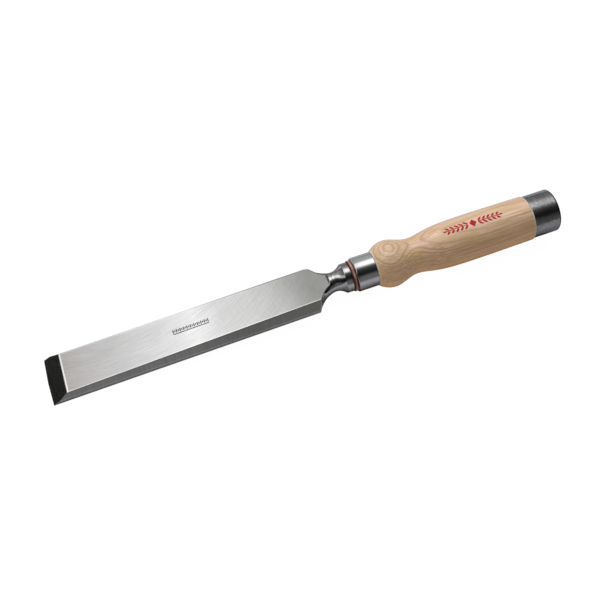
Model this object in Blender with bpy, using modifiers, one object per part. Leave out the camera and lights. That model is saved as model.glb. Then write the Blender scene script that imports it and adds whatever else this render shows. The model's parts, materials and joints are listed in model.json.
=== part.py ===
"""Heavy bevel-edge chisel with a turned handle, as five separate pieces.

The pieces are the forged blade (with its neck, bolster and tang), the leather washer, the front
ferrule, the wooden handle and the striking hoop.

Two frames are used. In the tool frame the flat back of the blade is the plane z = 0, x runs from the
cutting edge to the butt, and the bevelled face looks up. The handle frame has its z axis along the
handle, which falls a little towards the butt. A "station" is a distance from the cutting edge along
either of them. The whole tool then lies at rest, on its cutting edge and on the bulb of the handle,
with the origin under the middle of its box.
"""

import math

import bmesh
import bpy
from mathutils import Vector

# Driving dimensions, in metres and degrees.
BLADE_WIDTH = 0.0381
EDGE_THICKNESS = 0.00643  # where the cutting bevel meets the face
SHOULDER_THICKNESS = 0.00897
CUTTING_ANGLE = 27.0
SIDE_LAND = 0.00297  # upright strip between the back and each side bevel
SIDE_BEVEL_ANGLE = 51.5  # from the plane of the back

SHOULDER_STATION = 0.2003
BACK_RUN_OUT = 0.2014  # the flat back ends here
FACE_RUN_OUT = 0.2084  # the flat face ends here
RUN_OUT_RADIUS = 0.007  # of the hollow where the face ends
UPPER_FLARE_STATION = 0.2047
LOWER_FLARE_STATION = 0.2106
NECK_STATION = 0.2157
BOLSTER_STATION = 0.2231
BOLSTER_END = 0.2282
WASHER_THICKNESS = 0.0028
FERRULE_LENGTH = 0.0156
BULB_STATION = 0.2597
WAIST_STATION = 0.2777
GRIP_STATION = 0.2894
FULL_GRIP_STATION = 0.3049
SWELL_STATION = 0.3259
HOOP_STATION = 0.3700
TOTAL_LENGTH = 0.3910

CRANK = -1.31  # slope of the handle axis from the plane of the back; it falls towards the butt
CRANK_STATION = 0.2303
AXIS_HEIGHT = 0.00299  # of the handle axis above the back, at CRANK_STATION

UPPER_FLARE_RADIUS = 0.0119
LOWER_FLARE_RADIUS = 0.0085
NECK_RADIUS = 0.00715
BOLSTER_RADIUS = 0.0110
WASHER_RADIUS = 0.01185
FERRULE_RADIUS = 0.0128
FERRULE_WALL = 0.0014
BULB_RADIUS = 0.01773
WAIST_RADIUS = 0.01348
GRIP_RADIUS = 0.01508
FULL_GRIP_RADIUS = 0.0170
SWELL_RADIUS = 0.01735
HANDLE_END_RADIUS = 0.0169
HOOP_RADIUS = 0.01615
HOOP_WALL = 0.0023
HOOP_CHAMFER = 0.0011

TANG_ROOT = 0.2262  # inside the bolster
TANG_LENGTH = 0.078
TANG_WIDTH = 0.0085
TANG_TIP_WIDTH = 0.0045
WASHER_HOLE_RADIUS = 0.0065

GAP = 0.0003  # between neighbouring pieces
EDGE_BREAK = 0.0004  # small chamfer on turned edges
TURNED_STEPS = 48
ARC_STEP = 0.003  # length along the axis between two points of a turned curve


def clear_scene():
    for obj in list(bpy.data.objects):
        bpy.data.objects.remove(obj)


def new_collection(name, rendered=True):
    collection = bpy.data.collections.new(name)
    collection.hide_render = not rendered
    bpy.context.scene.collection.children.link(collection)
    return collection


def new_material(name, colour, roughness, metallic):
    material = bpy.data.materials.new(name)
    material.use_nodes = True
    shader = material.node_tree.nodes["Principled BSDF"]
    shader.inputs["Base Color"].default_value = (*colour, 1.0)
    shader.inputs["Roughness"].default_value = roughness
    shader.inputs["Metallic"].default_value = metallic
    return material


def add_object(name, data, collection, parent=None):
    obj = bpy.data.objects.new(name, data)
    obj.parent = parent
    collection.objects.link(obj)
    if collection.hide_render:
        obj.hide_render = True
        obj.display_type = "WIRE"
    return obj


def hermite(knots, step):
    """Points along a smooth line through knots of (station, height, slope), about step apart."""
    points = []
    for (start, low, slope_in), (end, high, slope_out) in zip(knots, knots[1:]):
        length = end - start
        count = max(1, round(length / step))
        for index in range(count):
            t = index / count
            rise = high - low
            height = low + rise * t * t * (3 - 2 * t)
            height += length * t * (1 - t) * (slope_in * (1 - t) - slope_out * t)
            points.append((start + length * t, height))
    points.append(knots[-1][:2])
    return points


def arc(centre, radius, first, last, count):
    """Points of an arc between two angles in degrees."""
    points = []
    for index in range(count + 1):
        angle = math.radians(first + (last - first) * index / count)
        points.append((centre[0] + radius * math.cos(angle), centre[1] + radius * math.sin(angle)))
    return points


def turned(name, outline, collection, parent):
    """A solid turned about the handle axis, from (station, radius) points running from tip to butt."""
    bm = bmesh.new()
    corners = [bm.verts.new((radius, 0, station - CRANK_STATION)) for station, radius in outline[::-1]]
    for first, second in zip(corners, corners[1:]):
        bm.edges.new((first, second))
    mesh = bpy.data.meshes.new(name)
    bm.to_mesh(mesh)
    bm.free()
    obj = add_object(name, mesh, collection, parent)
    screw = obj.modifiers.new("turn", "SCREW")
    screw.steps = TURNED_STEPS
    screw.render_steps = TURNED_STEPS
    screw.use_merge_vertices = True
    screw.merge_threshold = 1e-6
    return obj


def turned_tube(name, outer, inner, collection, parent):
    """A turned tube: outer and inner points, both from tip to butt, joined into one closed line."""
    obj = turned(name, outer, collection, parent)
    bm = bmesh.new()
    bm.from_mesh(obj.data)
    ring = sorted(bm.verts, key=lambda vert: vert.index)
    for station, radius in inner:
        ring.append(bm.verts.new((radius, 0, station - CRANK_STATION)))
        bm.edges.new((ring[-2], ring[-1]))
    bm.edges.new((ring[-1], ring[0]))
    bm.to_mesh(obj.data)
    bm.free()
    return obj


def plate(name, outline, width, collection, parent):
    """A side outline of (station, height) points made solid, with its width across the tool."""
    curve = bpy.data.curves.new(name, "CURVE")
    curve.dimensions = "2D"
    curve.fill_mode = "BOTH"
    curve.extrude = width / 2
    spline = curve.splines.new("POLY")
    spline.points.add(len(outline) - 1)
    for point, (station, height) in zip(spline.points, outline):
        point.co = (station, height, 0, 1)
    spline.use_cyclic_u = True
    guide = add_object(name + "_outline", curve, collection, parent)
    guide.rotation_euler = (math.radians(90), 0, 0)
    bpy.context.view_layer.update()
    graph = bpy.context.evaluated_depsgraph_get()
    mesh = bpy.data.meshes.new_from_object(guide.evaluated_get(graph))
    weld(mesh)
    obj = add_object(name, mesh, collection, parent)
    obj.rotation_euler = guide.rotation_euler
    bpy.data.objects.remove(guide)
    return obj


def weld(mesh):
    bm = bmesh.new()
    bm.from_mesh(mesh)
    bmesh.ops.remove_doubles(bm, verts=bm.verts, dist=1e-6)
    bmesh.ops.recalc_face_normals(bm, faces=bm.faces)
    bm.to_mesh(mesh)
    bm.free()


def boolean(target, other, operation):
    modifier = target.modifiers.new(other.name, "BOOLEAN")
    modifier.operation = operation
    modifier.object = other


def finish(obj, material):
    """Makes the modified shape the object's own mesh, with its material and smooth round faces."""
    bpy.context.view_layer.update()
    graph = bpy.context.evaluated_depsgraph_get()
    mesh = bpy.data.meshes.new_from_object(obj.evaluated_get(graph))
    obj.modifiers.clear()
    obj.data = mesh
    mesh.name = obj.name
    mesh.materials.clear()
    mesh.materials.append(material)
    mesh.shade_smooth()
    mesh.set_sharp_from_angle(angle=math.radians(30))


def face_height(station):
    """Height of the flat face above the flat back."""
    start = EDGE_THICKNESS / math.tan(math.radians(CUTTING_ANGLE))
    slope = (SHOULDER_THICKNESS - EDGE_THICKNESS) / (SHOULDER_STATION - start)
    return EDGE_THICKNESS + slope * (station - start)


def forging_side():
    """Side view of the blade, whose face and back run out into the neck through hollow curves."""
    well_clear = 0.02
    clear_station = NECK_STATION + 0.001
    bevel_length = EDGE_THICKNESS / math.tan(math.radians(CUTTING_ANGLE))
    neck_bottom = axis_height(NECK_STATION) - NECK_RADIUS
    below = hermite(
        [(BACK_RUN_OUT, 0, 0), (NECK_STATION, neck_bottom - GAP, -0.1)], ARC_STEP / 2
    )
    centre = (FACE_RUN_OUT, face_height(FACE_RUN_OUT) + RUN_OUT_RADIUS)
    above = arc(centre, RUN_OUT_RADIUS, -30, -90, 7)
    return [
        (0, 0),
        *below,
        (clear_station, -well_clear),
        (BOLSTER_END + well_clear, -well_clear),
        (BOLSTER_END + well_clear, well_clear),
        (clear_station, well_clear),
        *above,
        (bevel_length, EDGE_THICKNESS),
    ]


def axis_height(station):
    return AXIS_HEIGHT + (station - CRANK_STATION) * math.tan(math.radians(CRANK))


def forging_turned():
    """Turned view of the blade: shoulders, waisted neck, flare and bolster."""
    blank_start = -0.01
    blank_radius = 0.026
    corner_radius = math.hypot(BLADE_WIDTH / 2, axis_height(SHOULDER_STATION))
    hollow = (NECK_STATION + 2 * BOLSTER_STATION) / 3
    flare = hermite(
        [
            (SHOULDER_STATION, corner_radius, -2.4),
            (UPPER_FLARE_STATION, UPPER_FLARE_RADIUS, -0.82),
            (LOWER_FLARE_STATION, LOWER_FLARE_RADIUS, -0.36),
            (NECK_STATION, NECK_RADIUS, 0),
            (hollow, (2 * NECK_RADIUS + BOLSTER_RADIUS) / 3 - GAP, 0.6),
            (BOLSTER_STATION, BOLSTER_RADIUS - GAP, 1.1),
        ],
        ARC_STEP / 3,
    )
    return [
        (blank_start, 0),
        (blank_start, blank_radius),
        (SHOULDER_STATION - 0.0022, blank_radius),
        *flare,
        (BOLSTER_STATION + GAP, BOLSTER_RADIUS),
        (BOLSTER_END - EDGE_BREAK, BOLSTER_RADIUS),
        (BOLSTER_END, BOLSTER_RADIUS - EDGE_BREAK),
        (BOLSTER_END, 0),
    ]


def square_taper(name, start, end, width, end_width, collection, parent):
    """A four-sided taper along the handle axis."""
    bm = bmesh.new()
    length = end - start
    bmesh.ops.create_cone(
        bm, cap_ends=True, segments=4, radius1=width / math.sqrt(2),
        radius2=end_width / math.sqrt(2), depth=length,
    )
    bmesh.ops.translate(bm, verts=bm.verts, vec=(0, 0, start - CRANK_STATION + length / 2))
    mesh = bpy.data.meshes.new(name)
    bm.to_mesh(mesh)
    bm.free()
    obj = add_object(name, mesh, collection, parent)
    obj.rotation_euler = (0, 0, math.radians(45))
    return obj


def side_cutter(name, side, collection, parent):
    """A block whose inner face is one side bevel; side is 1 or -1."""
    bm = bmesh.new()
    bmesh.ops.create_cube(bm, size=1)
    bmesh.ops.translate(bm, verts=bm.verts, vec=(0.5, side / 2, 0))
    bmesh.ops.scale(bm, verts=bm.verts, vec=(SHOULDER_STATION + 0.04, 0.02, 0.05))
    mesh = bpy.data.meshes.new(name)
    bm.to_mesh(mesh)
    bm.free()
    obj = add_object(name, mesh, collection, parent)
    obj.location = (-0.01, side * BLADE_WIDTH / 2, SIDE_LAND)
    obj.rotation_euler = (side * math.radians(90 - SIDE_BEVEL_ANGLE), 0, 0)
    return obj


def make_blade(parts, cutters, tool, handle_axis, material):
    blade = plate("blade", forging_side(), BLADE_WIDTH, parts, tool)
    for side, name in ((1, "left_bevel_cutter"), (-1, "right_bevel_cutter")):
        boolean(blade, side_cutter(name, side, cutters, tool), "DIFFERENCE")
    boolean(blade, turned("turned_blank", forging_turned(), cutters, handle_axis), "INTERSECT")
    tang = square_taper(
        "tang", TANG_ROOT, TANG_ROOT + TANG_LENGTH, TANG_WIDTH, TANG_TIP_WIDTH, cutters, handle_axis
    )
    boolean(blade, tang, "UNION")
    finish(blade, material)


def make_washer(parts, handle_axis, material):
    start = BOLSTER_END + GAP
    end = start + WASHER_THICKNESS
    rim = WASHER_RADIUS
    outer = [
        (start, rim - 2 * EDGE_BREAK),
        (start + EDGE_BREAK, rim - EDGE_BREAK / 2),
        ((start + end) / 2, rim),
        (end - EDGE_BREAK, rim - EDGE_BREAK / 2),
        (end, rim - 2 * EDGE_BREAK),
    ]
    inner = [(start, WASHER_HOLE_RADIUS), (end, WASHER_HOLE_RADIUS)]
    washer = turned_tube("leather_washer", outer, inner, parts, handle_axis)
    finish(washer, material)
    return end + GAP


def make_ferrule(start, parts, handle_axis, material):
    end = start + FERRULE_LENGTH
    bore = FERRULE_RADIUS - FERRULE_WALL
    outer = [
        (start, FERRULE_RADIUS - EDGE_BREAK),
        (start + EDGE_BREAK, FERRULE_RADIUS),
        (end - EDGE_BREAK, FERRULE_RADIUS),
        (end, FERRULE_RADIUS - EDGE_BREAK),
    ]
    ferrule = turned_tube("front_ferrule", outer, [(start, bore), (end, bore)], parts, handle_axis)
    finish(ferrule, material)
    return end + GAP


def handle_outline(tenon_start, shoulder):
    """The turned wood: front tenon, bulb, waist, swelling grip and the rebate for the hoop."""
    tenon_radius = FERRULE_RADIUS - FERRULE_WALL - GAP
    rebate_radius = HOOP_RADIUS - HOOP_WALL - GAP
    rebate = HOOP_STATION - GAP
    grip = hermite(
        [
            (shoulder, FERRULE_RADIUS + GAP, 0.9),
            (BULB_STATION, BULB_RADIUS, 0),
            (WAIST_STATION, WAIST_RADIUS, 0),
            (GRIP_STATION, GRIP_RADIUS, 0.2),
            (FULL_GRIP_STATION, FULL_GRIP_RADIUS, 0.035),
            (SWELL_STATION, SWELL_RADIUS, 0),
            (rebate - 2 * EDGE_BREAK, HANDLE_END_RADIUS, -0.004),
        ],
        ARC_STEP,
    )
    return [
        (tenon_start, 0),
        (tenon_start, tenon_radius - EDGE_BREAK),
        (tenon_start + EDGE_BREAK, tenon_radius),
        (shoulder, tenon_radius),
        *grip,
        (rebate, HANDLE_END_RADIUS - 2 * EDGE_BREAK),
        (rebate, rebate_radius),
        (TOTAL_LENGTH - 2 * EDGE_BREAK, rebate_radius),
        (TOTAL_LENGTH, rebate_radius - 2 * EDGE_BREAK),
        (TOTAL_LENGTH, 0),
    ]


def make_handle(outline, parts, cutters, handle_axis, material):
    handle = turned("handle", outline, parts, handle_axis)
    wider = 2 * GAP
    bore = square_taper(
        "tang_bore_cutter", TANG_ROOT, TANG_ROOT + TANG_LENGTH + GAP, TANG_WIDTH + wider,
        TANG_TIP_WIDTH + wider, cutters, handle_axis,
    )
    boolean(handle, bore, "DIFFERENCE")
    finish(handle, material)


def make_hoop(parts, handle_axis, material):
    end = TOTAL_LENGTH - GAP
    bore = HOOP_RADIUS - HOOP_WALL
    outer = [
        (HOOP_STATION, HOOP_RADIUS - EDGE_BREAK),
        (HOOP_STATION + EDGE_BREAK, HOOP_RADIUS),
        *arc((end - HOOP_CHAMFER, HOOP_RADIUS - HOOP_CHAMFER), HOOP_CHAMFER, 90, 0, 4),
    ]
    hoop = turned_tube(
        "striking_hoop", outer, [(HOOP_STATION, bore), (end, bore)], parts, handle_axis
    )
    finish(hoop, material)


def lying_angle(outline):
    """How far the tool turns until its cutting edge and the underside of the handle share a plane."""
    crank = math.radians(CRANK)
    steepest = 0
    for station, radius in outline:
        along = station - CRANK_STATION
        x = CRANK_STATION + along * math.cos(crank) + radius * math.sin(crank)
        z = AXIS_HEIGHT + along * math.sin(crank) - radius * math.cos(crank)
        steepest = max(steepest, math.atan2(-z, x))
    return steepest


def lay_down(tool, outline):
    """Lays the tool on its cutting edge and the bulb, with the origin under the middle of its box."""
    angle = lying_angle(outline)
    tilt = angle + math.radians(CRANK)
    along = TOTAL_LENGTH - CRANK_STATION
    pivot = CRANK_STATION * math.cos(angle) - AXIS_HEIGHT * math.sin(angle)
    corner_radius = outline[-2][1]
    length = pivot + along * math.cos(tilt) + corner_radius * math.sin(tilt)
    tool.rotation_euler = (0, -angle, 0)
    tool.location = (-length / 2, 0, 0)


def main():
    clear_scene()
    parts = new_collection("bevel_edge_chisel")
    cutters = new_collection("cutters", rendered=False)
    tool = add_object("tool_frame", None, parts)
    handle_axis = add_object("handle_axis", None, parts, tool)
    handle_axis.location = Vector((CRANK_STATION, 0, AXIS_HEIGHT))
    handle_axis.rotation_euler = (0, math.radians(90 - CRANK), 0)

    blade_steel = new_material("blade_steel", (0.62, 0.62, 0.61), 0.32, 1.0)
    leather = new_material("leather", (0.30, 0.13, 0.09), 0.7, 0.0)
    ferrule_steel = new_material("ferrule_steel", (0.60, 0.60, 0.59), 0.2, 1.0)
    ash = new_material("ash", (0.70, 0.50, 0.32), 0.45, 0.0)
    hoop_steel = new_material("hoop_steel", (0.28, 0.28, 0.27), 0.35, 1.0)

    make_blade(parts, cutters, tool, handle_axis, blade_steel)
    ferrule_start = make_washer(parts, handle_axis, leather)
    shoulder = make_ferrule(ferrule_start, parts, handle_axis, ferrule_steel)
    outline = handle_outline(ferrule_start + GAP, shoulder)
    make_handle(outline, parts, cutters, handle_axis, ash)
    make_hoop(parts, handle_axis, hoop_steel)
    lay_down(tool, outline)


main()
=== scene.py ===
"""Looks of a heavy bevel-edge chisel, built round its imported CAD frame.

Every piece is modelled in millimetres in one of two frames, then placed by the record's mounts.
In the tool frame x runs from the cutting edge to the butt along the flat back, y crosses the blade
and z leaves the face. In the handle frame a "station" is the distance from the cutting edge along
the turned axis.
"""

import json
import math

import bmesh
import bpy
import numpy as np
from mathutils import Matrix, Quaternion, Vector


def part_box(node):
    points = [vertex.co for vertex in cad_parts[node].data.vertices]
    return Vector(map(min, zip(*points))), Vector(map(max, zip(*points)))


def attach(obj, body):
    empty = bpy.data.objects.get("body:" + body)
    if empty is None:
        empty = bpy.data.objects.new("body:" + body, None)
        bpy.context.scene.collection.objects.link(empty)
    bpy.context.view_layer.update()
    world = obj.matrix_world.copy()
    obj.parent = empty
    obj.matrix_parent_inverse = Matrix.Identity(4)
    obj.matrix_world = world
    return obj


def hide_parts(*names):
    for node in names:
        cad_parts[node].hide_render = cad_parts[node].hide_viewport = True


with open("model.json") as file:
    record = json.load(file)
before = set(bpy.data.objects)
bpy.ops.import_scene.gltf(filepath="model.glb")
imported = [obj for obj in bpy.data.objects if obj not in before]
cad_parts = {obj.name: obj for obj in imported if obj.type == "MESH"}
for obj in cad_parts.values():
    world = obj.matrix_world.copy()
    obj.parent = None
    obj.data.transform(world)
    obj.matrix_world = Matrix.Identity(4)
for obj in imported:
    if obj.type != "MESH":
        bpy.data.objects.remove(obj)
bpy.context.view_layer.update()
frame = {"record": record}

MM = 0.001

# Sizes in millimetres, stations from the cutting edge.
TOTAL_LENGTH = 391.0
BLADE_WIDTH = 38.1
EDGE_THICKNESS = 6.43
SHOULDER_THICKNESS = 8.97
CUTTING_ANGLE = math.radians(27.0)
SIDE_LAND = 2.97  # height of the blade's upright sides below their bevels
FACE_START = EDGE_THICKNESS / math.tan(CUTTING_ANGLE)
SIDE_BEVEL_ANGLE = math.radians(51.5)
SHOULDER = 199.2
BACK_RUN_OUT = 201.4
FACE_RUN_OUT = 210.3
RUN_OUT_RADIUS = 2.0  # of the curve that lifts the face plane off the neck
RUN_OUT_REACH = 0.98  # how much of that radius the curve runs for, before a straight climb
RUN_OUT_CLIMB = 4.9  # slope of the straight climb
NECK = 215.7
NECK_RADIUS = 7.42
NECK_FLATNESS = 0.7  # height over width of the neck's section near the blade
FLAT_UNTIL, ROUND_FROM = 205.0, 219.0
BOLSTER = 223.1
BOLSTER_END = 228.2
BOLSTER_RADIUS = 11.0
TANG_END = 304.2
TANG_HALF_WIDTH = 4.25  # at the bolster
TANG_TAPER = 2.0  # by which the half width falls at the tang's end
AXIS_STATION = 230.3
AXIS_HEIGHT = 2.99  # of the handle axis above the back plane, at AXIS_STATION
CRANK = math.radians(-1.31)
WASHER_START = 228.4
WASHER_END = 231.45
WASHER_MIDDLE = 229.9
WASHER_RADIUS = 11.65
FERRULE_START = 231.6
FERRULE_END = 247.2
FERRULE_RADIUS = 12.8
TENON_RADIUS = 11.1
HOOP_START = 370.0
HOOP_END = 390.7
HOOP_RADIUS = 16.15
REBATE_RADIUS = 13.5
REBATE_EDGE = HOOP_START - 0.05
WOOD_END = HOOP_START - 1.2
WOOD_END_RADIUS = 16.85

# The handle's printed ornament, in stations and in millimetres round the handle from its top.
MARK_CENTRE = -0.4
MARK_START, MARK_END = 301.5, 347.5
LEAF_PAIRS = 5
LEAF_PITCH = 3.55

# The blade's etched border, in millimetres.
ETCHING_START = 94.2
TICK_COUNT, TICK_PITCH, TICK_WIDTH = 21, 1.3, 0.8

# The growth rings of the handle, with the bark side nearly straight up.
PITH_DEPTH = 75.0
RING_WIDTH = 1.45
RING_TILT = math.radians(-2.0)

mounts = {mount["name"]: mount for mount in frame["record"]["mounts"]}
HANDLE_AXIS = Vector(mounts["striking_end"]["axis"]).normalized()
BUTT = Vector(mounts["striking_end"]["pos_m"])
HANDLE_UP = Vector((-HANDLE_AXIS.z, 0, HANDLE_AXIS.x))
TOOL_UP = -Vector(mounts["blade_back"]["axis"]).normalized()
TOOL_AXIS = Vector((TOOL_UP.z, 0, -TOOL_UP.x))
CUTTING_EDGE = Vector((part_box("blade")[0].x, 0, 0))
HANDLE_ZERO = BUTT - HANDLE_AXIS * TOTAL_LENGTH * MM
ACROSS = Vector((0, 1, 0))


# ---------------------------------------------------------------- mesh building


def hermite(knots, step):
    """Points along a smooth line through (station, height, slope) knots."""
    points = []
    for (start, low, slope_in), (end, high, slope_out) in zip(knots, knots[1:]):
        length = end - start
        count = max(1, round(length / step))
        for index in range(count):
            t = index / count
            height = low + (high - low) * t * t * (3 - 2 * t)
            height += length * t * (1 - t) * (slope_in * (1 - t) - slope_out * t)
            points.append((start + length * t, height))
    points.append(tuple(knots[-1][:2]))
    return points


def rounded(corners, steps=4):
    """A line through (x, y, rounding) corners, each cut by a small curve of that size."""
    points = []
    for index, (x, y, size) in enumerate(corners):
        here = np.array((x, y), float)
        if size == 0 or index in (0, len(corners) - 1):
            points.append((x, y))
            continue
        before = np.array(corners[index - 1][:2], float) - here
        after = np.array(corners[index + 1][:2], float) - here
        first = here + before * min(0.5, size / np.linalg.norm(before))
        last = here + after * min(0.5, size / np.linalg.norm(after))
        for k in range(steps + 1):
            t = k / steps
            point = first * (1 - t) ** 2 + 2 * t * (1 - t) * here + last * t * t
            points.append(tuple(point))
    return points


def skin(name, rings, materials, loop=False, pick=None):
    """A closed mesh over rings of points in metres. A ring of one point is a pole.

    pick(ring, column) chooses a face's material.
    """
    bm = bmesh.new()
    rows = [[bm.verts.new(point) for point in ring] for ring in rings]
    pairs = list(zip(rows, rows[1:]))
    if loop:
        pairs.append((rows[-1], rows[0]))
    for number, (a, b) in enumerate(pairs):
        count = max(len(a), len(b))
        for i in range(count):
            j = (i + 1) % count
            corners = [a[i % len(a)], a[j % len(a)], b[j % len(b)], b[i % len(b)]]
            unique = list(dict.fromkeys(corners))
            if len(unique) > 2:
                face = bm.faces.new(unique)
                face.smooth = True
                if pick:
                    face.material_index = pick(number, i)
    bmesh.ops.recalc_face_normals(bm, faces=bm.faces)
    mesh = bpy.data.meshes.new(name)
    bm.to_mesh(mesh)
    bm.free()
    for material in materials:
        mesh.materials.append(material)
    mesh.set_sharp_from_angle(angle=math.radians(32))
    obj = bpy.data.objects.new(name, mesh)
    bpy.context.scene.collection.objects.link(obj)
    return obj


def on_handle(stations, radii, angles):
    """Row-frame points at stations, radii and angles (from the upper side towards the far side)."""
    stations, radii, angles = np.broadcast_arrays(stations, radii, angles)
    axis, up, across = (np.array(v) for v in (HANDLE_AXIS, HANDLE_UP, ACROSS))
    along = np.multiply.outer(stations * MM, axis)
    high = np.multiply.outer(radii * np.cos(angles) * MM, up)
    wide = np.multiply.outer(radii * np.sin(angles) * MM, across)
    return np.array(HANDLE_ZERO) + along + high + wide


def in_tool(points):
    """Row-frame points of (x, y, z) tool-frame points in millimetres."""
    points = np.asarray(points, float) * MM
    basis = np.array([TOOL_AXIS, ACROSS, TOOL_UP])
    return np.array(CUTTING_EDGE) + points @ basis


def lathe(name, profile, material, loop=False, segments=180):
    angles = np.linspace(0, 2 * math.pi, segments, endpoint=False)
    rings = []
    for station, radius in profile:
        if radius < 1e-6:
            rings.append(on_handle(station, 0, np.zeros(1)))
        else:
            rings.append(on_handle(station, radius, angles))
    return skin(name, rings, [material], loop)


def tube(name, outer, bore, material):
    """A ring with a rounded outline outside and a plain bore."""
    start, end = outer[0][0], outer[-1][0]
    inside = [(end, bore + 0.25), (end - 0.25, bore), (start + 0.25, bore), (start, bore + 0.25)]
    return lathe(name, rounded(outer) + inside, material, loop=True)


# ---------------------------------------------------------------- the blade


def smooth_max(a, b, size):
    """The larger of two distances, blended where they are within size of each other."""
    near = np.clip(size - np.abs(a - b), 0, None) / size
    return np.maximum(a, b) + near * near * size / 4


def face_height(x):
    """Height of the face plane, which curves up off the neck where it runs out."""
    slope = (SHOULDER_THICKNESS - EDGE_THICKNESS) / (SHOULDER - FACE_START)
    run = np.clip((x - FACE_RUN_OUT) / RUN_OUT_RADIUS, 0, RUN_OUT_REACH)
    past = np.clip(x - FACE_RUN_OUT - RUN_OUT_REACH * RUN_OUT_RADIUS, 0, None)
    climb = RUN_OUT_RADIUS * (1 - np.sqrt(1 - run * run)) + RUN_OUT_CLIMB * past
    return EDGE_THICKNESS + slope * (x - FACE_START) + climb


NECK_LINE = np.array(
    hermite(
        [
            (SHOULDER - 3, 30.0, -3.6),
            (SHOULDER, 19.35, -1.9),
            (204.7, 12.5, -0.95),
            (207.65, 10.35, -0.6),
            (210.6, 8.8, -0.42),
            (NECK, NECK_RADIUS, 0),
            (219.0, 8.02, 0.42),
            (221.3, 9.3, 0.72),
            (BOLSTER, BOLSTER_RADIUS - 0.25, 0.95),
        ],
        0.05,
    )
)


def neck_radius(station):
    return np.interp(station, NECK_LINE[:, 0], NECK_LINE[:, 1])


def neck_flatness(x):
    """Height over width of the neck's section: flattened near the blade, round at the bolster."""
    t = np.clip((x - FLAT_UNTIL) / (ROUND_FROM - FLAT_UNTIL), 0, 1)
    return NECK_FLATNESS + (1 - NECK_FLATNESS) * t * t * (3 - 2 * t)


def back_height(x):
    bottom = AXIS_HEIGHT + (NECK - AXIS_STATION) * math.tan(CRANK) - NECK_RADIUS - 0.4
    t = np.clip((x - BACK_RUN_OUT) / (NECK - BACK_RUN_OUT), 0, 1)
    return bottom * t * t * (3 - 2 * t)


def handle_coordinates(x, z):
    """Station, and height above the handle axis, of tool-frame points."""
    along, high = x - AXIS_STATION, z - AXIS_HEIGHT
    station = AXIS_STATION + along * math.cos(CRANK) + high * math.sin(CRANK)
    return station, high * math.cos(CRANK) - along * math.sin(CRANK)


def blade_distances(x, y, z):
    """Signed distances of tool-frame points from the blade's flats and from the turned neck."""
    side = BLADE_WIDTH / 2
    land = np.abs(y) - side
    lean = SIDE_BEVEL_ANGLE
    bevel = (np.abs(y) - side + (z - SIDE_LAND) / math.tan(lean)) * math.sin(lean)
    face = z - face_height(x)
    cut = (z - x * math.tan(CUTTING_ANGLE)) * math.cos(CUTTING_ANGLE)
    back = back_height(x) - z
    station, high = handle_coordinates(x, z)
    turned = np.hypot(y, high / neck_flatness(x)) - neck_radius(station)
    slope = np.interp(station, [SHOULDER, 204.7, 210.6, NECK], [1.8, 0.95, 0.42, 0])
    return land, bevel, face, cut, back, turned / np.hypot(1, slope)


def blade_surface(x, y, z):
    land, bevel, face, cut, back, turned = blade_distances(x, y, z)
    whole = smooth_max(land, bevel, 0.2)
    top = smooth_max(face, cut, 0.35)
    whole = smooth_max(whole, top, 0.25)
    neck_blend = np.interp(x, [200.4, 203.3, 205.9, 208.9, 211.4], [0.4, 0.5, 0.5, 0.6, 0.6])
    whole = smooth_max(whole, turned, neck_blend)
    return smooth_max(whole, back, 0.15)


def spread(first, last, count):
    """Points from first up to but not including last, crowded at both ends."""
    t = 0.5 - 0.5 * np.cos(np.pi * np.arange(count) / count)
    return np.outer(1 - t, first) + np.outer(t, last)


TOP_COUNT, BEVEL_COUNT, LAND_COUNT, BACK_COUNT = 52, 12, 8, 40
SECTION_COUNTS = (TOP_COUNT, BEVEL_COUNT, LAND_COUNT, BACK_COUNT, LAND_COUNT, BEVEL_COUNT)


def section_corners(x):
    """(y, z) of a blade section's upper, middle and lower corners, and the z of its centre."""
    side = BLADE_WIDTH / 2
    bottom = float(back_height(x))
    axis = AXIS_HEIGHT + (x - AXIS_STATION) * math.tan(CRANK)
    radius = float(neck_radius(x))
    top = min(face_height(x), x * math.tan(CUTTING_ANGLE), axis + radius)
    land_top = min(SIDE_LAND, 0.8 * top)
    if top > SIDE_LAND:
        upper = side - (top - SIDE_LAND) / math.tan(SIDE_BEVEL_ANGLE)
    else:
        upper = side
    mix = min(1, max(0, (x - SHOULDER + 1) / 9))
    centre = (top / 2) * (1 - mix) + axis * mix
    upper = min(upper, math.sqrt(max(radius**2 - (top - axis) ** 2, 1.6**2)))
    lower = min(side, math.sqrt(max(radius**2 - (bottom - axis) ** 2, 1.6**2)))
    middle = math.sqrt(max(radius**2 - (land_top - axis) ** 2, 1.6**2))
    middle = min(side, middle)
    round_top = axis + math.sqrt(max(radius**2 - upper**2, 0))
    round_low = axis - math.sqrt(max(radius**2 - lower**2, 0))
    return (upper, min(top, round_top)), (middle, land_top), (lower, max(bottom, round_low)), centre


def blade_section(x):
    """Points round the blade at tool-frame x, found along rays from the section's centre."""
    a, b, c, centre = section_corners(x)
    loop = [a, (-a[0], a[1]), (-b[0], b[1]), (-c[0], c[1]), c, b]
    parts = [
        spread(loop[i], loop[(i + 1) % 6], SECTION_COUNTS[i]) for i in range(6)
    ]
    aims = np.vstack(parts) - (0, centre)
    aims /= np.linalg.norm(aims, axis=1)[:, None]
    low, high = np.zeros(len(aims)), np.full(len(aims), 30.0)
    for _ in range(34):
        reach = (low + high) / 2
        outside = blade_surface(x, aims[:, 0] * reach, centre + aims[:, 1] * reach) > 0
        high = np.where(outside, reach, high)
        low = np.where(outside, low, reach)
    reach = (low + high) / 2
    return np.column_stack(
        [np.full(len(aims), x), aims[:, 0] * reach, centre + aims[:, 1] * reach]
    )


FACE, SIDE, CUT, POLISHED = range(4)


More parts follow.
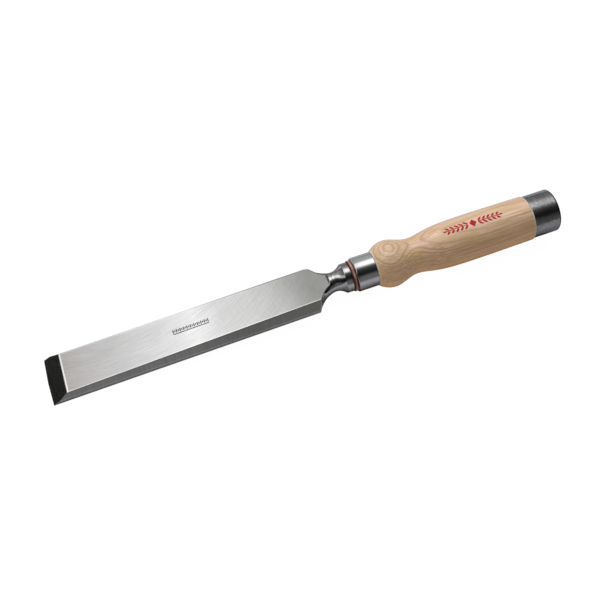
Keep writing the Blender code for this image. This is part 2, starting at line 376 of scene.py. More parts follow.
def blade_rows():
    """Tool-frame x of every blade section, closer together at each corner."""
    near_edge = [-1.2, -0.6, -0.35, -0.2, -0.1, 0, 0.1, 0.2, 0.35, 0.6, 1.2]
    rows = list(np.linspace(0.06, FACE_START - 2, 16))
    rows += [FACE_START + offset for offset in near_edge]
    rows += list(np.linspace(FACE_START + 2.5, SHOULDER - 2.5, 70))
    rows += list(np.arange(SHOULDER - 1.2, 207, 0.16))
    rows += list(np.arange(207.1, 219.01, 0.25))
    return rows


def face_kind(x, y, z):
    """Which finish the blade has at a tool-frame point."""
    land, bevel, face, cut, back, turned = blade_distances(x, y, z)
    flats = {FACE: face, CUT: cut, SIDE: max(land, bevel), POLISHED: turned, "back": back}
    kind = max(flats, key=lambda key: flats[key])
    return FACE if kind == "back" else kind


def build_blade(materials):
    """Blade, neck and bolster as one skin, ending in the tang inside the handle."""
    rows = blade_rows()
    sections = [blade_section(x) for x in rows]
    kinds = []
    for a, b in zip(sections, sections[1:]):
        middle = (a + b + np.roll(a, -1, 0) + np.roll(b, -1, 0)) / 4
        kinds.append([face_kind(*point) for point in middle])
    last = sections[-1]
    rings = [in_tool(section) for section in sections]
    station, high = handle_coordinates(last[:, 0], last[:, 2])
    angles = np.arctan2(last[:, 1], high)
    start = float(np.mean(station))
    flare = [p for p in NECK_LINE[::4] if start + 0.3 < p[0] < BOLSTER - 0.1]
    collar = rounded(
        [
            (BOLSTER, BOLSTER_RADIUS - 0.25, 0),
            (BOLSTER + 0.3, BOLSTER_RADIUS, 0.2),
            (BOLSTER_END, BOLSTER_RADIUS, 0.4),
            (BOLSTER_END, 6.3, 0.2),
            (BOLSTER_END + 0.3, 6.0, 0),
        ]
    )
    for s, radius in flare + collar:
        rings.append(on_handle(s, radius, angles))
    tang_start = BOLSTER_END + 1
    square = 1 / np.maximum(np.abs(np.cos(angles)), np.abs(np.sin(angles)))
    for t in np.linspace(0, 1, 12):
        half = TANG_HALF_WIDTH - TANG_TAPER * t
        reach = np.minimum(half * square, half * 1.33)
        rings.append(on_handle(tang_start + t * (TANG_END - tang_start), reach, angles))
    tip = on_handle(TANG_END, 0, np.zeros(1))
    butt_of_edge = in_tool([[rows[0], 0, rows[0] * math.tan(CUTTING_ANGLE) / 2]])

    def pick(ring, column):
        if ring == 0:
            return CUT
        return kinds[ring - 1][column] if ring - 1 < len(kinds) else POLISHED

    return skin("chisel_blade", [butt_of_edge, *rings, tip], materials, pick=pick)


# ---------------------------------------------------------------- turned pieces


def handle_line():
    """The outside of the wood, from the front shoulder to the hoop."""
    return hermite(
        [
            (FERRULE_END + 0.05, 12.95, 1.1),
            (250.6, 15.32, 0.62),
            (255.1, 17.2, 0.26),
            (259.7, 17.7, 0),
            (264.2, 16.9, -0.29),
            (273.2, 14.07, -0.25),
            (277.7, 13.55, 0),
            (286.8, 14.8, 0.19),
            (295.9, 16.3, 0.12),
            (305.1, 17.05, 0.035),
            (325.9, 17.33, 0),
            (WOOD_END, WOOD_END_RADIUS, -0.008),
        ],
        0.7,
    )


def build_handle(material):
    bore = [(TANG_END + 0.4, 0), (TANG_END + 0.4, 3.5), (FERRULE_START, 6.5)]
    tenon = rounded(
        [
            (FERRULE_START, 6.5, 0),
            (FERRULE_START, TENON_RADIUS, 0.4),
            (FERRULE_END + 0.05, TENON_RADIUS, 0),
        ]
    )
    rebate = rounded(
        [
            (WOOD_END, WOOD_END_RADIUS, 0),
            (HOOP_START - 0.75, 16.82, 0.4),
            (REBATE_EDGE, 16.1, 0.25),
            (REBATE_EDGE, REBATE_RADIUS, 0),
            (TOTAL_LENGTH, REBATE_RADIUS, 0.9),
            (TOTAL_LENGTH, 0, 0),
        ]
    )
    profile = bore + tenon[1:] + handle_line() + rebate[1:]
    return lathe("turned_handle", profile, material, segments=220)


def build_washer(material):
    outer = [
        (WASHER_START, 10.4, 0),
        (WASHER_START, 11.2, 0.4),
        (229.2, WASHER_RADIUS, 0.4),
        (230.7, WASHER_RADIUS, 0.4),
        (WASHER_END, 11.2, 0.4),
        (WASHER_END, 10.4, 0),
    ]
    return tube("washer_ring", outer, 6.6, material)


def build_ferrule(material):
    outer = [
        (FERRULE_START, 11.8, 0),
        (FERRULE_START, 12.35, 0.3),
        (FERRULE_START + 0.5, FERRULE_RADIUS, 0.4),
        (FERRULE_END - 0.3, FERRULE_RADIUS, 0.3),
        (FERRULE_END, 12.6, 0.1),
        (FERRULE_END, 11.8, 0),
    ]
    return tube("ferrule_ring", outer, 11.25, material)


def build_hoop(material):
    outer = [
        (HOOP_START, 14.6, 0),
        (HOOP_START, 15.85, 0.2),
        (HOOP_START + 0.3, HOOP_RADIUS, 0.2),
        (HOOP_END - 1.1, HOOP_RADIUS, 0.35),
        (HOOP_END - 0.15, 15.2, 0.3),
        (HOOP_END, 14.6, 0),
    ]
    return tube("hoop_ring", outer, 13.75, material)


# ---------------------------------------------------------------- ornaments


def handle_radius_at(station, line=np.array(handle_line())):
    return np.interp(station, line[:, 0], line[:, 1])


def handle_mark(name, starts, low, high, material):
    """A thin printed shape on the wood, between two edges given in millimetres round the handle."""
    rings = []
    for station, a, b in zip(starts, low, high):
        around = np.linspace(a, b, 7) + MARK_CENTRE
        radius = handle_radius_at(station)
        over = on_handle(station, radius + 0.03, around / radius)
        under = on_handle(station, radius - 0.12, around[::-1] / radius)
        rings.append(np.vstack([over, under]))
    ends = [rings[0].mean(0)[None], rings[-1].mean(0)[None]]
    return skin(name, [ends[0], *rings, ends[1]], [material])


def slanted_leaf(centre, lift, long, wide, lean):
    """A leaf of two half-sizes in millimetres, leaning from the handle's axis by lean degrees."""
    c, t = math.cos(math.radians(lean)), math.sin(math.radians(lean))
    across = (long * c) ** 2 + (wide * t) ** 2
    shear = (long**2 - wide**2) * c * t / across
    bulge = long * wide / math.sqrt(across)
    steps = np.linspace(-0.985, 0.985, 17)
    middle = lift + shear * steps * math.sqrt(across)
    half = bulge * (1 - steps**2) ** 0.7
    return centre + steps * math.sqrt(across), middle - half, middle + half


def build_ornament(material):
    """A lozenge between two straight sprigs of paired leaves."""
    middle = (MARK_START + MARK_END) / 2
    reach = (MARK_END - MARK_START) / 2
    t = np.linspace(-0.97, 0.97, 15)
    bulge = 3.3 * (1 - np.abs(t)) ** 1.1 + 0.05
    shapes = [(middle + 2.9 * t, -bulge, bulge)]
    for side in (-1, 1):
        t = np.linspace(0, 1, 24)
        stations = (middle + side * (4.0 + (reach - 4.2) * t))[::side]
        half = 0.32 * np.minimum(1, np.minimum(t, 1 - t) * 12 + 0.15)
        shapes.append((stations, -half, half))
        for pair in range(LEAF_PAIRS):
            along = 5.6 + LEAF_PITCH * pair
            long = 2.25 - 0.14 * pair
            for up in (-1, 1):
                shapes.append(
                    slanted_leaf(middle + side * along, up * 1.75, long, 0.78, side * up * 42)
                )
        shapes.append(slanted_leaf(middle + side * (reach - 0.9), 0.0, 1.5, 0.7, 0))
    parts = [handle_mark(f"mark_{index}", *shape, material) for index, shape in enumerate(shapes)]
    return merged("printed_sprigs", parts)


def merged(name, parts):
    """One object made of several, which are removed."""
    bm = bmesh.new()
    for part in parts:
        bm.from_mesh(part.data)
    mesh = bpy.data.meshes.new(name)
    bm.to_mesh(mesh)
    bm.free()
    mesh.materials.append(parts[0].data.materials[0])
    for part in parts:
        old = part.data
        bpy.data.objects.remove(part)
        bpy.data.meshes.remove(old)
    obj = bpy.data.objects.new(name, mesh)
    bpy.context.scene.collection.objects.link(obj)
    return obj


def build_etching(material):
    """A small etched border on the face: even ticks, every second one taller, over a fine line."""
    strokes = [
        (ETCHING_START + index * TICK_PITCH, TICK_WIDTH, 1.7, 1.6 if index % 2 else 2.7)
        for index in range(TICK_COUNT)
    ]
    strokes.append((ETCHING_START, (TICK_COUNT - 1) * TICK_PITCH + TICK_WIDTH, -0.6, 0.7))
    boxes = []
    for x, width, y, height in strokes:
        near, far = y - height / 2, y + height / 2
        ends = []
        for end in (x, x + width):
            low, high = face_height(end) - 0.1, face_height(end) + 0.015
            corners = [(near, low), (far, low), (far, high), (near, high)]
            ends.append(in_tool([(end, y, z) for y, z in corners]))
        boxes.append(ends)
    return join_boxes("face_etching", boxes, material)


def join_boxes(name, pairs, material):
    """One mesh of separate boxes, each between two rings of four points."""
    bm = bmesh.new()
    for first, second in pairs:
        a = [bm.verts.new(p) for p in first]
        b = [bm.verts.new(p) for p in second]
        bm.faces.new(a[::-1])
        bm.faces.new(b)
        for i in range(4):
            j = (i + 1) % 4
            bm.faces.new([a[i], a[j], b[j], b[i]])
    bmesh.ops.recalc_face_normals(bm, faces=bm.faces)
    mesh = bpy.data.meshes.new(name)
    bm.to_mesh(mesh)
    bm.free()
    mesh.materials.append(material)
    obj = bpy.data.objects.new(name, mesh)
    bpy.context.scene.collection.objects.link(obj)
    return obj


# ---------------------------------------------------------------- materials


class Graph:
    """A material with a Principled shader, and short names for the nodes that feed it."""

    def __init__(self, name, **values):
        self.material = bpy.data.materials.new(name)
        self.material.use_nodes = True
        self.nodes = self.material.node_tree.nodes
        self.links = self.material.node_tree.links
        self.shader = self.nodes["Principled BSDF"]
        for socket, value in values.items():
            self.shader.inputs[socket.replace("_", " ")].default_value = value

    def feed(self, socket, value):
        if isinstance(value, bpy.types.NodeSocket):
            self.links.new(value, socket)
        elif value is not None:
            socket.default_value = value

    def math(self, operation, *values):
        node = self.nodes.new("ShaderNodeMath")
        node.operation = operation
        for socket, value in zip(node.inputs, values):
            self.feed(socket, value)
        return node.outputs[0]

    def vector(self, operation, *values):
        node = self.nodes.new("ShaderNodeVectorMath")
        node.operation = operation
        for socket, value in zip(node.inputs, values):
            self.feed(socket, value)
        if operation in ("DOT_PRODUCT", "LENGTH"):
            return node.outputs["Value"]
        return node.outputs[0]

    def combine(self, x, y, z):
        node = self.nodes.new("ShaderNodeCombineXYZ")
        for socket, value in zip(node.inputs, (x, y, z)):
            self.feed(socket, value)
        return node.outputs[0]

    def place(self, zero, x_axis, y_axis, z_axis):
        """The surface point in another frame, in millimetres, as three numbers."""
        point = self.nodes.new("ShaderNodeTexCoord").outputs["Object"]
        from_zero = self.vector("SUBTRACT", point, tuple(zero))
        return [
            self.vector("DOT_PRODUCT", from_zero, tuple(axis * 1000))
            for axis in (x_axis, y_axis, z_axis)
        ]

    def noise(self, x, y, z, detail=2.0, roughness=0.5):
        node = self.nodes.new("ShaderNodeTexNoise")
        node.inputs["Scale"].default_value = 1.0
        node.inputs["Detail"].default_value = detail
        node.inputs["Roughness"].default_value = roughness
        self.links.new(self.combine(x, y, z), node.inputs["Vector"])
        return node.outputs[0]

    def stretched(self, places, sizes, seed=0.0, detail=2.0, roughness=0.5):
        """Noise whose grains have these sizes in millimetres along three directions."""
        scaled = [
            self.math("MULTIPLY_ADD", place, 1 / size, seed)
            for place, size in zip(places, sizes)
        ]
        return self.noise(*scaled, detail=detail, roughness=roughness)

    def ramp(self, value, stops):
        """A colour ramp through (position, colour or grey) stops."""
        node = self.nodes.new("ShaderNodeValToRGB")
        elements = node.color_ramp.elements
        while len(elements) < len(stops):
            elements.new(0.5)
        for element, (position, colour) in zip(elements, stops):
            element.position = position
            element.color = (*colour, 1) if isinstance(colour, tuple) else (colour,) * 3 + (1,)
        self.feed(node.inputs[0], value)
        return node.outputs[0]

    def mix(self, share, a, b, blend="MIX"):
        node = self.nodes.new("ShaderNodeMix")
        node.data_type = "RGBA"
        node.blend_type = blend
        self.feed(node.inputs[0], share)
        for socket, value in ((node.inputs[6], a), (node.inputs[7], b)):
            if isinstance(value, tuple):
                value = (*value, 1)
            self.feed(socket, value)
        return node.outputs[2]

    def span(self, value, low, high, out_low, out_high):
        """A value's place between low and high, held at the ends and mapped to another range."""
        node = self.nodes.new("ShaderNodeMapRange")
        for socket, number in zip(node.inputs, (value, low, high, out_low, out_high)):
            self.feed(socket, number)
        return node.outputs[0]

    def bump(self, height, strength, distance_mm):
        node = self.nodes.new("ShaderNodeBump")
        node.inputs["Strength"].default_value = strength
        node.inputs["Distance"].default_value = distance_mm * MM
        self.links.new(height, node.inputs["Height"])
        return node.outputs[0]

    def finish(self, colour, roughness, normal):
        for socket, value in (("Base Color", colour), ("Roughness", roughness), ("Normal", normal)):
            self.links.new(value, self.shader.inputs[socket])
        return self.material


ARC_RADIUS = 170.0  # at which the arcs' lengths are true
FACE_WHEEL = (62.0, 135.0)
CROSS_WHEEL = (330.0, 40.0)


def arcs(graph, x, y, centre):
    """Distance from a grinding wheel's centre, and length along its arcs, in millimetres."""
    dx = graph.math("SUBTRACT", x, centre[0])
    dy = graph.math("SUBTRACT", y, centre[1])
    squares = graph.math("ADD", graph.math("MULTIPLY", dx, dx), graph.math("MULTIPLY", dy, dy))
    reach = graph.math("SQRT", squares)
    turn = graph.math("ARCTAN2", dy, dx)
    return reach, graph.math("MULTIPLY", turn, ARC_RADIUS)


# Painted highlight and shade on the ground face, by distance in millimetres from the cutting edge:
# brightest near 110 mm, darker towards the tip and the shoulder.
FACE_PAINTED_LIGHT = [
    (8, (0.445, 0.425, 0.41)), (30, (0.54, 0.525, 0.52)), (50, (0.566, 0.56, 0.56)),
    (70, (0.632, 0.627, 0.627)), (90, (0.70, 0.695, 0.695)), (110, (0.80, 0.795, 0.795)),
    (130, (0.616, 0.61, 0.61)), (150, (0.57, 0.57, 0.565)), (170, (0.49, 0.49, 0.48)),
    (185, (0.355, 0.355, 0.345)), (198, (0.26, 0.26, 0.25)),
]


def ground_face(name="ground_face_steel"):
    """Bright flats, ground by a large wheel that leaves curved strokes, lightly cross-hatched."""
    g = Graph(name, Metallic=1.0)
    x, y, z = g.place(CUTTING_EDGE, TOOL_AXIS, ACROSS, TOOL_UP)
    reach, along = arcs(g, x, y, FACE_WHEEL)
    cross, cross_along = arcs(g, x, y, CROSS_WHEEL)
    fine = g.stretched((reach, along, z), (0.3, 14.0, 40.0), 3.1, 3.0)
    strokes = g.stretched((reach, along, z), (0.85, 22.0, 40.0), 11.7, 3.0, 0.6)
    bands = g.stretched((reach, along, z), (6.0, 60.0, 40.0), 5.3, 2.0)
    hatch = g.stretched((cross, cross_along, z), (0.7, 11.0, 40.0), 7.9, 2.0)
    near_neck = g.span(x, 100.0, 200.0, 0.1, 0.5)
    cloud = g.stretched((x, y, z), (28.0, 14.0, 30.0), 1.3, 3.0)
    marks = g.math("MULTIPLY_ADD", strokes, 0.5, g.math("MULTIPLY", fine, 0.3))
    marks = g.math("MULTIPLY_ADD", bands, 0.2, marks)
    marks = g.math("ADD", marks, g.math("MULTIPLY", hatch, near_neck))
    grain = g.ramp(marks, [(0.35, 0.78), (0.85, 1.06)])
    # Painted highlight and shade along the blade.
    place = g.math("DIVIDE", x, SHOULDER)
    painted_face_light = g.ramp(place, [(at / SHOULDER, tone) for at, tone in FACE_PAINTED_LIGHT])
    tone = g.mix(1.0, painted_face_light, grain, "MULTIPLY")
    tone = g.mix(g.span(cloud, 0.35, 0.7, 0.0, 0.12), tone, (0.60, 0.585, 0.57))
    # Painted highlights: light strips along the face's edges, at the cutting bevel and at the
    # sides, where rounded edges would catch the light; the far strip fades towards the shoulder.
    tip_edge_highlight = g.span(x, FACE_START + 0.9, FACE_START + 1.4, 1.0, 0.0)
    slope = 1 / math.tan(SIDE_BEVEL_ANGLE)
    edge = g.math("MULTIPLY_ADD", g.math("SUBTRACT", z, SIDE_LAND), slope, g.math("ABSOLUTE", y))
    side_edge_highlight = g.span(edge, BLADE_WIDTH / 2 - 1.0, BLADE_WIDTH / 2 - 0.6, 0.0, 0.4)
    near_side = g.span(y, 1.0, -1.0, 0.0, 1.0)
    fading = g.math("MAXIMUM", g.span(x, 110.0, 180.0, 1.0, 0.25), near_side)
    side_edge_highlight = g.math("MULTIPLY", side_edge_highlight, fading)
    tone = g.mix(g.math("MAXIMUM", tip_edge_highlight, side_edge_highlight), tone, (0.97, 0.975, 0.98))
    rough = g.span(marks, 0.3, 0.9, 0.32, 0.23)
    return g.finish(tone, rough, g.bump(marks, 0.5, 0.03))


def ground_side(name="ground_side_steel"):
    """Side bevels and lands, ground across at a slant."""
    g = Graph(name, Metallic=1.0)
    x, y, z = g.place(CUTTING_EDGE, TOOL_AXIS, ACROSS, TOOL_UP)
    slant = g.math("MULTIPLY_ADD", y, 0.9, x)
    slant = g.math("MULTIPLY_ADD", z, -0.8, slant)
    fine = g.stretched((slant, y, z), (0.28, 22.0, 22.0), 2.2, 3.0)
    strokes = g.stretched((slant, y, z), (1.5, 30.0, 30.0), 8.1, 3.0)
    lengthwise = g.stretched((x, y, z), (60.0, 0.6, 0.5), 6.4, 2.0)
    marks = g.math("MULTIPLY_ADD", strokes, 0.5, g.math("MULTIPLY", fine, 0.3))
    marks = g.math("MULTIPLY_ADD", lengthwise, 0.25, marks)
    bright = g.ramp(marks, [(0.38, (0.74, 0.735, 0.70)), (0.72, (1.0, 0.99, 0.95))])
    dull = g.ramp(marks, [(0.35, (0.58, 0.58, 0.55)), (0.8, (0.82, 0.82, 0.77))])
    tone = g.mix(g.span(x, 105.0, 135.0, 0.0, 1.0), bright, dull)
    # Painted shade: the upright land below the side bevels is darkened.
    tone = g.mix(g.span(z, SIDE_LAND, SIDE_LAND - 0.4, 0.0, 0.62), tone, (0.36, 0.355, 0.34))
    return g.finish(tone, g.span(marks, 0.35, 0.8, 0.38, 0.26), g.bump(marks, 0.45, 0.03))


def honed_bevel(name="honed_cutting_bevel"):
    """The cutting bevel: strokes straight across, finer towards the edge."""
    g = Graph(name, Metallic=1.0)
    x, y, z = g.place(CUTTING_EDGE, TOOL_AXIS, ACROSS, TOOL_UP)
    slant = g.math("MULTIPLY_ADD", y, 0.12, x)
    fine = g.stretched((slant, y, z), (0.16, 16.0, 40.0), 4.4, 3.0)
    strokes = g.stretched((slant, y, z), (0.9, 24.0, 40.0), 9.3, 2.0)
    marks = g.math("MULTIPLY_ADD", strokes, 0.5, g.math("MULTIPLY", fine, 0.5))
    tone = g.ramp(marks, [(0.3, (0.40, 0.41, 0.37)), (0.75, (0.62, 0.625, 0.57))])
    return g.finish(tone, g.span(marks, 0.3, 0.8, 0.26, 0.18), g.bump(marks, 0.35, 0.02))


def turned_steel(name, tones, roughness, bump, mottle, painted_far_shade=0.0, rim_shade_from=None):
    """Steel finished on the lathe: fine rings round the axis, with a faint mottle.

    One option paints shade on the far side, with a mottled edge; the other paints a dark rim of
    shade over the rounded end from a given station on.
    """
    g = Graph(name, Metallic=1.0)
    s, y, w = g.place(HANDLE_ZERO, HANDLE_AXIS, ACROSS, HANDLE_UP)
    rings = g.stretched((s, y, w), (0.16, 26.0, 26.0), 2.7, 3.0)
    broad = g.stretched((s, y, w), (1.1, 40.0, 40.0), 6.1, 2.0)
    spots = g.stretched((s, y, w), (1.6, 1.6, 1.6), 9.9, 4.0, 0.65)
    smear = g.stretched((s, y, w), (9.0, 7.0, 7.0), 4.2, 3.0)
    marks = g.math("MULTIPLY_ADD", broad, 0.4, g.math("MULTIPLY", rings, 0.6))
    mixed = g.math("MULTIPLY_ADD", spots, mottle, g.math("MULTIPLY", marks, 1 - mottle))
    tone = g.ramp(mixed, [(0.36, tones[0]), (0.64, tones[1])])
    if painted_far_shade:
        # Painted shade: the far side is darkened, with a mottled edge.
        far_shade_mask = g.math("MULTIPLY_ADD", g.math("SUBTRACT", spots, 0.5), 4.0, y)
        tone = g.mix(g.span(far_shade_mask, 1.0, 4.0, 0.0, painted_far_shade), tone, (0.22, 0.195, 0.195))
    # Painted shade: a dark rim over the rounded end, from the given station on.
    if rim_shade_from:
        tone = g.mix(g.span(s, rim_shade_from, rim_shade_from + 0.4, 0.0, 0.85), tone, (0.05, 0.045, 0.04))
    uneven = g.math("MULTIPLY_ADD", smear, 0.5, g.math("MULTIPLY", mixed, 0.5))
    rough = g.span(uneven, 0.35, 0.65, roughness[1], roughness[0])
    return g.finish(tone, rough, g.bump(mixed, bump, 0.02))


def leather(name="oiled_leather"):
    """Brown sole leather, with painted shade at its two faces, where it meets the bolster and the
    ferrule.
    """
    g = Graph(name, Specular_IOR_Level=0.4)
    s, y, w = g.place(HANDLE_ZERO, HANDLE_AXIS, ACROSS, HANDLE_UP)
    fibres = g.stretched((s, y, w), (0.25, 1.1, 1.1), 3.0, 4.0, 0.65)
    patches = g.stretched((s, y, w), (1.5, 4.0, 4.0), 7.0, 3.0)
    edge = g.math("ABSOLUTE", g.math("SUBTRACT", s, WASHER_MIDDLE))
    washer_edge_shade = g.span(edge, 0.35, 0.95, 0.0, 1.0)
    tone = g.ramp(fibres, [(0.3, (0.18, 0.068, 0.04)), (0.7, (0.42, 0.205, 0.14))])
    tone = g.mix(g.span(patches, 0.4, 0.65, 0.0, 0.6), tone, (0.54, 0.31, 0.235))
    # Painted shade where the washer meets the bolster and the ferrule.
    tone = g.mix(washer_edge_shade, tone, (0.06, 0.018, 0.010))
    return g.finish(tone, g.span(fibres, 0.3, 0.7, 0.72, 0.52), g.bump(fibres, 0.6, 0.08))


def ash_wood(name="varnished_ash"):
    """Flat-sawn ash: solid growth rings round a far pith, open pores in each ring's early wood."""
    g = Graph(name, Coat_Weight=0.8, Coat_Roughness=0.3)
    s, y, w = g.place(HANDLE_ZERO, HANDLE_AXIS, ACROSS, HANDLE_UP)
    c, t = math.cos(RING_TILT), math.sin(RING_TILT)
    deep = g.math("ADD", g.math("MULTIPLY", w, c), g.math("MULTIPLY", y, -t))
    side = g.math("ADD", g.math("MULTIPLY", y, c), g.math("MULTIPLY", w, t))
    drift = g.stretched((s, y, w), (70.0, 22.0, 22.0), 1.9, 1.0)
    wobble = g.stretched((s, y, w), (13.0, 6.0, 6.0), 5.5, 2.0)
    deep = g.math("MULTIPLY_ADD", g.math("SUBTRACT", drift, 0.5), 4.2, deep)
    deep = g.math("MULTIPLY_ADD", g.math("SUBTRACT", wobble, 0.5), 0.55, deep)
    from_pith = g.math("ADD", deep, PITH_DEPTH)
    squares = g.math(
        "ADD", g.math("MULTIPLY", from_pith, from_pith), g.math("MULTIPLY", side, side)
    )
    reach = g.math("SQRT", squares)
    seasons = g.noise(g.math("MULTIPLY", reach, 0.21), 0.0, 0.0, detail=1.0)
    reach = g.math("MULTIPLY_ADD", seasons, 3.2, reach)
    ring = g.math("FRACT", g.math("DIVIDE", reach, RING_WIDTH))
    early = g.ramp(
        ring, [(0.0, 1.0), (0.1, 0.9), (0.28, 0.15), (0.5, 0.0), (0.9, 0.08), (1.0, 0.7)]
    )
    across_rings, along_rings = g.math("MULTIPLY", reach, 0.37), g.math("MULTIPLY", s, 0.012)
    strength = g.noise(across_rings, along_rings, 3.0, detail=1.0)
    strength = g.span(strength, 0.32, 0.68, 0.5, 1.0)
    # The rings show less low on the bulb and on top of the grip.
    on_grip = g.math("MAXIMUM", g.span(s, 264.0, 278.0, 0.2, 1.0), g.span(w, 8.0, 14.0, 0.2, 1.0))
    on_top = g.math("MAXIMUM", g.span(s, 285.0, 300.0, 1.0, 0.0), g.span(w, 10.5, 15.0, 1.0, 0.55))
    strength = g.math("MULTIPLY", strength, g.math("MULTIPLY", on_grip, on_top))
    fibres = g.stretched((s, y, w), (26.0, 0.7, 0.7), 2.3, 3.0, 0.65)
    streaks = g.stretched((s, y, w), (38.0, 1.2, 1.2), 6.9, 2.0)
    pores = g.stretched((s, y, w), (3.4, 0.2, 0.2), 8.8, 2.0, 0.7)
    in_early_wood = g.span(early, 0.0, 1.0, 0.15, 1.0)
    open_pores = g.math("MULTIPLY", g.span(pores, 0.53, 0.66, 0.0, 1.0), in_early_wood)
    flush = g.stretched((s, y, w), (30.0, 9.0, 9.0), 3.7, 2.0)
    golden = g.stretched((s, y, w), (22.0, 8.0, 8.0), 12.7, 2.0)
    tone = g.ramp(fibres, [(0.38, (0.53, 0.337, 0.166)), (0.62, (0.805, 0.572, 0.332))])
    tone = g.mix(g.span(flush, 0.45, 0.62, 0.0, 0.55), tone, (0.71, 0.435, 0.28))
    tone = g.mix(g.span(golden, 0.48, 0.64, 0.0, 0.5), tone, (0.62, 0.41, 0.155))
    tone = g.mix(g.span(streaks, 0.5, 0.66, 0.0, 0.6), tone, (0.49, 0.30, 0.152))
    tone = g.mix(g.math("MULTIPLY", early, strength), tone, (0.43, 0.25, 0.11))
    tone = g.mix(g.math("MULTIPLY", open_pores, 0.6), tone, (0.27, 0.155, 0.08))
    # Pale rims at the hoop and the ferrule: partly bare wood where the varnish is cut, partly
    # painted highlight, which on the hoop's rim is stronger on the upper side.
    hoop_rim_and_highlight = g.span(s, HOOP_START - 1.1, HOOP_START - 0.8, 0.0, 0.8)
    hoop_rim_and_highlight = g.math("MULTIPLY", hoop_rim_and_highlight, g.span(w, -6.0, 8.0, 0.3, 1.0))
    at_ferrule = g.span(s, FERRULE_END + 1.0, FERRULE_END + 0.5, 0.0, 0.5)
    pale_rims_and_highlight = g.math("MAXIMUM", hoop_rim_and_highlight, at_ferrule)
    tone = g.mix(pale_rims_and_highlight, tone, (0.94, 0.82, 0.67))
    height = g.math("SUBTRACT", g.math("MULTIPLY", fibres, 0.3), open_pores)
    rough = g.span(fibres, 0.3, 0.7, 0.48, 0.36)
    return g.finish(tone, rough, g.bump(height, 0.3, 0.05))


def printed_red(name="printed_red"):
    """Red ink, worn thin along the grain."""
    g = Graph(name, Specular_IOR_Level=0.2)
    s, y, w = g.place(HANDLE_ZERO, HANDLE_AXIS, ACROSS, HANDLE_UP)
    worn = g.stretched((s, y, w), (2.2, 0.3, 0.3), 4.1, 3.0, 0.65)
    tone = g.ramp(worn, [(0.35, (0.30, 0.003, 0.014)), (0.75, (0.56, 0.02, 0.04))])
    return g.finish(tone, g.span(worn, 0.3, 0.7, 0.4, 0.55), g.bump(worn, 0.2, 0.02))


def etched(name="etched_steel"):
    """The dark, rough bottom of an etched stroke."""
    g = Graph(name, Metallic=0.6)
    x, y, z = g.place(CUTTING_EDGE, TOOL_AXIS, ACROSS, TOOL_UP)
    grain = g.stretched((x, y, z), (0.12, 0.12, 0.12), 1.1, 3.0)
    tone = g.ramp(grain, [(0.3, (0.04, 0.038, 0.036)), (0.7, (0.13, 0.125, 0.12))])
    return g.finish(tone, g.span(grain, 0.3, 0.7, 0.75, 0.55), g.bump(grain, 0.4, 0.02))


# ---------------------------------------------------------------- assembly


def keep(piece, slot, *nodes):
    """Rides a piece on the one body and hides the nodes it replaces. The slot is not used."""
    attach(piece, "root")
    if nodes:
        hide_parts(*nodes)


neck_steel = turned_steel(
    "polished_neck_steel", [(0.50, 0.49, 0.48), (0.64, 0.63, 0.62)], (0.06, 0.11), 0.05, 0.3, 0.75
)
blade_steels = [ground_face(), ground_side(), honed_bevel(), neck_steel]
ferrule_steel = turned_steel(
    "polished_ferrule_steel", [(0.57, 0.575, 0.57), (0.68, 0.685, 0.68)], (0.08, 0.13), 0.06, 0.25
)
hoop_steel = turned_steel(
    "satin_hoop_steel",
    [(0.24, 0.245, 0.24), (0.53, 0.535, 0.53)],
    (0.18, 0.28),
    0.3,
    0.6,
    rim_shade_from=HOOP_END - 1.9,
)
keep(build_blade(blade_steels), "blade_steel", "blade")
keep(build_washer(leather()), "washer_leather", "leather_washer")
keep(build_ferrule(ferrule_steel), "ferrule_steel", "front_ferrule")
keep(build_handle(ash_wood()), "handle_ash", "handle")
keep(build_hoop(hoop_steel), "hoop_steel", "striking_hoop")
keep(build_ornament(printed_red()), "handle_ash")
keep(build_etching(etched()), "blade_steel")


# ---------------------------------------------------------------- stage, light and camera


WHITE = (1, 1, 1, 1)


def stage_plane(name, half, height):
    mesh = bpy.data.meshes.new(name)
    corners = [(-half, -half), (half, -half), (half, half), (-half, half)]
    mesh.from_pydata([(x, y, height) for x, y in corners], [], [(0, 1, 2, 3)])
    obj = bpy.data.objects.new(name, mesh)
    bpy.context.scene.collection.objects.link(obj)
    return obj


def seen_by(obj, camera=False, others=False):
    """Whether the camera and whether all other rays meet a stage object."""
    obj.visible_camera = camera
    for ray in ("diffuse", "glossy", "transmission", "shadow", "volume_scatter"):
        setattr(obj, "visible_" + ray, others)


